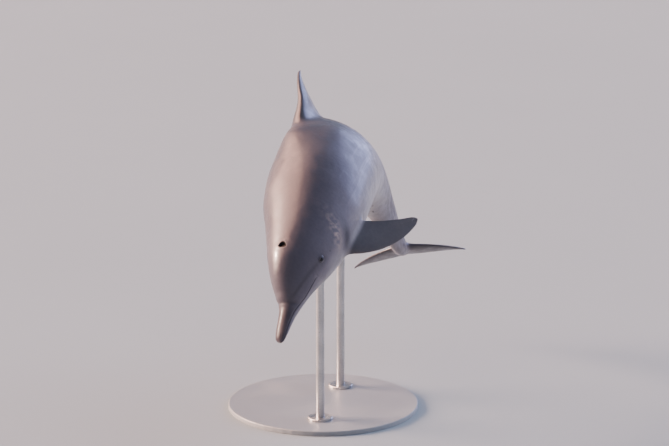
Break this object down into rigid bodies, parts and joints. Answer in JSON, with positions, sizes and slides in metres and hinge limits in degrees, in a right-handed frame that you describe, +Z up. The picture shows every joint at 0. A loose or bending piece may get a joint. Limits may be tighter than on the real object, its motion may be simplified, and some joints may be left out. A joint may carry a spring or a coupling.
{
  "type": "bottlenose dolphin",
  "caption": "Life-size bottlenose dolphin arched in a leap, nose down with its left side lifted, held over a flat round base by steel rods.",
  "frame": {"origin": "middle of the underside of the stand's round base, on the floor", "axes": "+Z up, -Y the way the dolphin's head points, +X the dolphin's left side"},
  "size_m": [0.9047, 2.0725, 1.4791],
  "materials": {
    "skin_back": "wet, smooth slate-grey skin, darkest along the back, paler on the flank and pale below",
    "skin_pale": "wet, smooth pale grey skin of the lower jaw and throat",
    "skin_fins": "wet, smooth dark charcoal skin of the fins",
    "eye_glass": "glossy dark brown eye",
    "rod_steel": "brushed",
    "base_paint": "satin mid-grey paint"
  },
  "bodies": {
    "root": {"beak_upper": "skin_back", "head": "skin_back", "neck": "skin_back", "trunk_front": "skin_back", "trunk_rear": "skin_back", "tail_stock": "skin_back", "jaw_lower": "skin_pale", "dorsal_fin": "skin_fins", "flipper_left": "skin_fins", "flipper_right": "skin_fins", "fluke_left": "skin_fins", "fluke_right": "skin_fins", "eye_left": "eye_glass", "eye_right": "eye_glass", "stand_base": "base_paint", "stand_flange_front": "rod_steel", "stand_flange_rear": "rod_steel", "stand_rod_front": "rod_steel", "stand_rod_rear": "rod_steel"}
  },
  "joints": []
}
